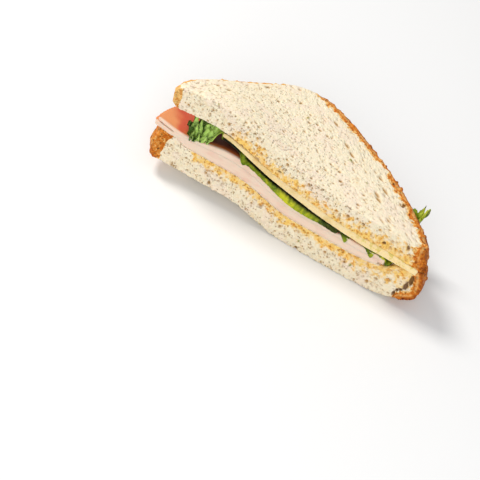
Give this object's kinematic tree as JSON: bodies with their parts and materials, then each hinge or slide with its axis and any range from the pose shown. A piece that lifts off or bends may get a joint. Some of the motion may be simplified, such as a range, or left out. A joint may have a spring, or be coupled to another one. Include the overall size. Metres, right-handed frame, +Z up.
{
  "type": "turkey and cheese sandwich",
  "caption": "Half of a sandwich cut corner to corner, bread slices around turkey, lettuce and cheese, lying flat with its cut face to the front.",
  "frame": {"origin": "centre of the bounding box at the height of the surface it lies on", "axes": "+X along the cut face from the open left end to the closed right end, +Y from the cut face towards the crust corner, +Z up"},
  "size_m": [0.1598, 0.0814, 0.0563],
  "materials": {
    "bread": "open seeded crumb with a thin browned crust",
    "turkey": "moist smooth cooked meat, pale where cut",
    "cheese": "smooth and slightly waxy",
    "lettuce": "veined frilly leaf"
  },
  "bodies": {
    "root": {"bread_bottom": "bread", "bread_top": "bread", "turkey_slice_lower": "turkey", "turkey_slice_upper": "turkey", "cheese_slice": "cheese", "lettuce_leaf": "lettuce"}
  },
  "joints": []
}
